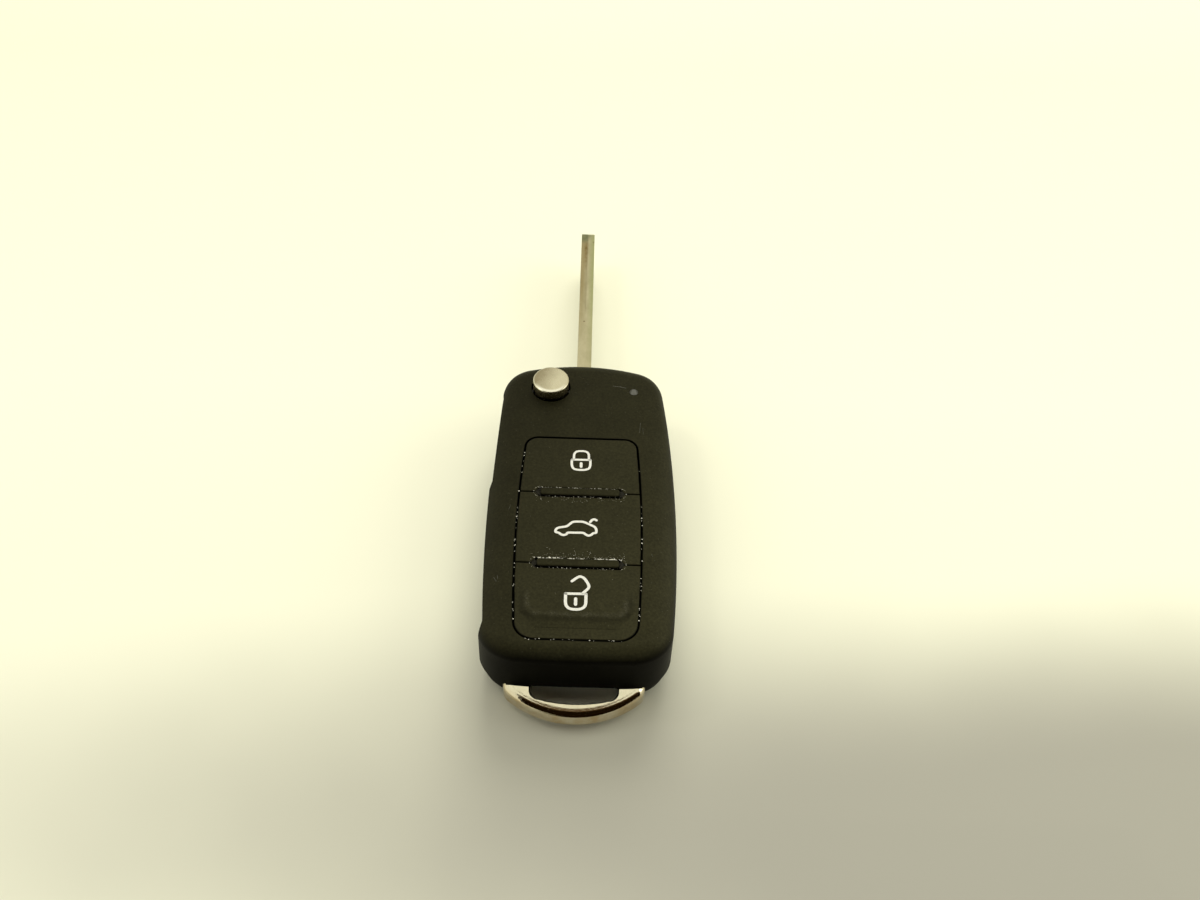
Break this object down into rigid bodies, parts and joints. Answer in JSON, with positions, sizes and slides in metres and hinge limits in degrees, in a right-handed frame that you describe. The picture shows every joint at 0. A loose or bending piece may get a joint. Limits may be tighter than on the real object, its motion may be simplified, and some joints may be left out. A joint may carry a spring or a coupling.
{
  "type": "flip key fob",
  "caption": "Folding car key fob: moulded two-part shell with a sprung flip-out blade, release button, push keys, lamp, coin-cell cover and a key-ring loop.",
  "frame": {"origin": "on the back face, in the middle of the shell's length and width; the blade and the key-ring loop reach past the shell on +Y and -Y", "axes": "+X to the right of the keypad face, +Y along the opened blade, +Z out of the keypad face"},
  "size_m": [0.0338, 0.1181, 0.0174],
  "materials": {
    "shell_plastic": "fine satin texture, near black",
    "key_plastic": "soft satin, near black",
    "silicone": "matt grey silicone",
    "circuit_laminate": "green laminate",
    "component_plastic": "moulded black",
    "clear_plastic": "clear polished plastic",
    "cell_steel": "nickel-plated steel",
    "hub_metal": "cast and tumbled",
    "blade_steel": "milled, worn and slightly stained",
    "chrome_trim": "bright plated metal, lightly worn",
    "spring_steel": "oiled spring wire"
  },
  "bodies": {
    "shell": {"front_cover": "shell_plastic", "rear_housing": "shell_plastic", "key_frame": "shell_plastic", "key_mat": "silicone", "lock_switch": "component_plastic", "trunk_switch": "component_plastic", "unlock_switch": "component_plastic", "circuit_board": "circuit_laminate", "control_chip": "component_plastic", "radio_chip": "component_plastic", "crystal_can": "cell_steel", "indicator_lamp": "clear_plastic", "light_pipe": "clear_plastic", "antenna_coil": "component_plastic", "transponder_chip": "component_plastic", "battery_cell": "cell_steel", "battery_contact_negative": "cell_steel", "battery_contact_positive": "cell_steel", "battery_seal": "silicone", "spring_plug": "component_plastic", "flip_spring": "spring_steel", "keyring_loop": "chrome_trim", "loop_pin_left": "chrome_trim", "loop_pin_right": "chrome_trim"},
    "blade": {"blade_hub": "hub_metal", "key_blade": "blade_steel", "blade_pin": "hub_metal"},
    "release": {"release_button": "chrome_trim", "lock_plate": "hub_metal"},
    "battery_door": {"battery_cover": "shell_plastic"},
    "lock_button": {"lock_key": "key_plastic", "lock_bumper": "silicone", "lock_plunger": "component_plastic"},
    "trunk_button": {"trunk_key": "key_plastic", "trunk_bumper": "silicone", "trunk_plunger": "component_plastic"},
    "unlock_button": {"unlock_key": "key_plastic", "unlock_bumper": "silicone", "unlock_plunger": "component_plastic"}
  },
  "joints": [
    {"name": "blade_flip", "type": "hinge", "parent": "shell", "child": "blade", "pos_m": [-0.0062, 0.02645, 0.0071], "axis": [0, 0, 1], "range_deg": [0, 180], "stiffness_Nm_per_rad": 0.006, "springref_deg": -85.94},
    {"name": "release_press", "type": "slide", "parent": "blade", "child": "release", "axis": [0, 0, -1], "range_m": [0, 0.0016], "stiffness_N_per_m": 400, "springref_m": -0.002},
    {"name": "lock_press", "type": "slide", "parent": "shell", "child": "lock_button", "axis": [0, 0, -1], "range_m": [0, 0.0004], "stiffness_N_per_m": 1500, "springref_m": -0.0003},
    {"name": "trunk_press", "type": "slide", "parent": "shell", "child": "trunk_button", "axis": [0, 0, -1], "range_m": [0, 0.0004], "stiffness_N_per_m": 1500, "springref_m": -0.0003},
    {"name": "unlock_press", "type": "slide", "parent": "shell", "child": "unlock_button", "axis": [0, 0, -1], "range_m": [0, 0.0004], "stiffness_N_per_m": 1500, "springref_m": -0.0003},
    {"name": "battery_cover_turn", "type": "hinge", "parent": "shell", "child": "battery_door", "pos_m": [0.001, -0.0135, 0.0004], "axis": [0, 0, 1], "range_deg": [0, 60]}
  ]
}
